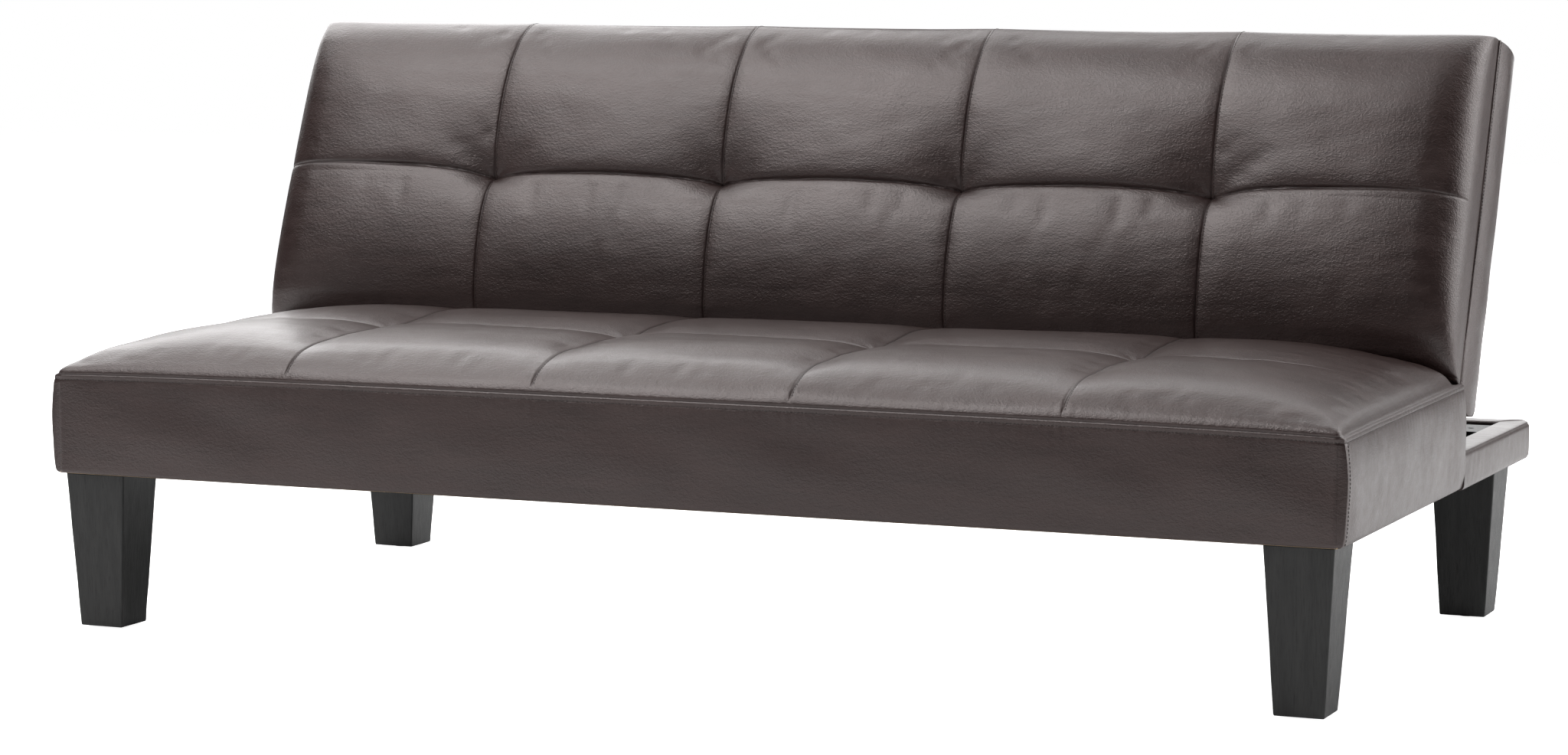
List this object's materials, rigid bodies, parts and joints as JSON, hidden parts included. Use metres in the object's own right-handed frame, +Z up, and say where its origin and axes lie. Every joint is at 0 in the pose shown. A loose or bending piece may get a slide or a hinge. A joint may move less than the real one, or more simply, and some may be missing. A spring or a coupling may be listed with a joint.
{
  "type": "futon sofa bed",
  "caption": "Armless convertible futon sofa bed: tufted faux leather seat and backrest on tapered wooden legs; the backrest clicks down flat over an open rear frame.",
  "frame": {"origin": "on the floor, under the centre of the sofa's overall box when the backrest is upright", "axes": "+X across the width, to the right as seen from the front; -Y the way a sitter faces; +Z up"},
  "size_m": [1.676, 0.94, 0.7556],
  "materials": {
    "faux_leather": "satin",
    "black_stained_wood": "satin",
    "frame_timber": "matte",
    "foam": "matte",
    "black_cloth": "matte",
    "webbing": "matte",
    "tie_thread": "matte",
    "hinge_steel": "satin",
    "bright_steel": "satin",
    "glide_plastic": "matte"
  },
  "bodies": {
    "base": {"base_front_rail": "frame_timber", "base_rear_rail": "black_stained_wood", "left_side_rail": "frame_timber", "right_side_rail": "frame_timber", "seat_rear_rail": "black_stained_wood", "seat_beams": "frame_timber", "extension_beams": "black_stained_wood", "seat_slats": "frame_timber", "leg_corner_blocks": "black_stained_wood", "front_left_leg": "black_stained_wood", "front_right_leg": "black_stained_wood", "rear_left_leg": "black_stained_wood", "rear_right_leg": "black_stained_wood", "leg_bolts": "bright_steel", "leg_glides": "glide_plastic", "seat_foam": "foam", "seat_cover": "faux_leather", "seat_tuft_ties": "tie_thread", "rear_frame_wrap": "faux_leather", "base_dust_cover": "black_cloth", "left_hinge_bracket": "hinge_steel", "right_hinge_bracket": "hinge_steel", "hinge_bracket_screws": "bright_steel", "left_hinge_pin": "bright_steel", "right_hinge_pin": "bright_steel", "left_hinge_washer": "bright_steel", "right_hinge_washer": "bright_steel"},
    "backrest": {"back_bottom_rail": "frame_timber", "back_top_rail": "frame_timber", "back_side_stiles": "frame_timber", "back_mid_stiles": "frame_timber", "back_webbing": "webbing", "back_foam": "foam", "back_cover": "faux_leather", "back_dust_cover": "black_cloth", "back_tuft_ties": "tie_thread", "left_hinge_arm": "hinge_steel", "right_hinge_arm": "hinge_steel", "hinge_arm_bolts": "bright_steel", "left_pawl_pin": "bright_steel", "right_pawl_pin": "bright_steel", "left_pawl_spring": "bright_steel", "right_pawl_spring": "bright_steel"},
    "left_pawl": {"left_hinge_pawl": "hinge_steel"},
    "right_pawl": {"right_hinge_pawl": "hinge_steel"}
  },
  "joints": [
    {"name": "back_hinge", "type": "hinge", "parent": "base", "child": "backrest", "pos_m": [0, 0.118, 0.308], "axis": [-1, 0, 0], "range_deg": [-5, 67.6]},
    {"name": "left_pawl_pivot", "type": "hinge", "parent": "backrest", "child": "left_pawl", "pos_m": [-0.602, 0.14085, 0.33582], "axis": [1, 0, 0], "range_deg": [0, 8]},
    {"name": "right_pawl_pivot", "type": "hinge", "parent": "backrest", "child": "right_pawl", "pos_m": [0.602, 0.14085, 0.33582], "axis": [1, 0, 0], "range_deg": [0, 8]}
  ]
}
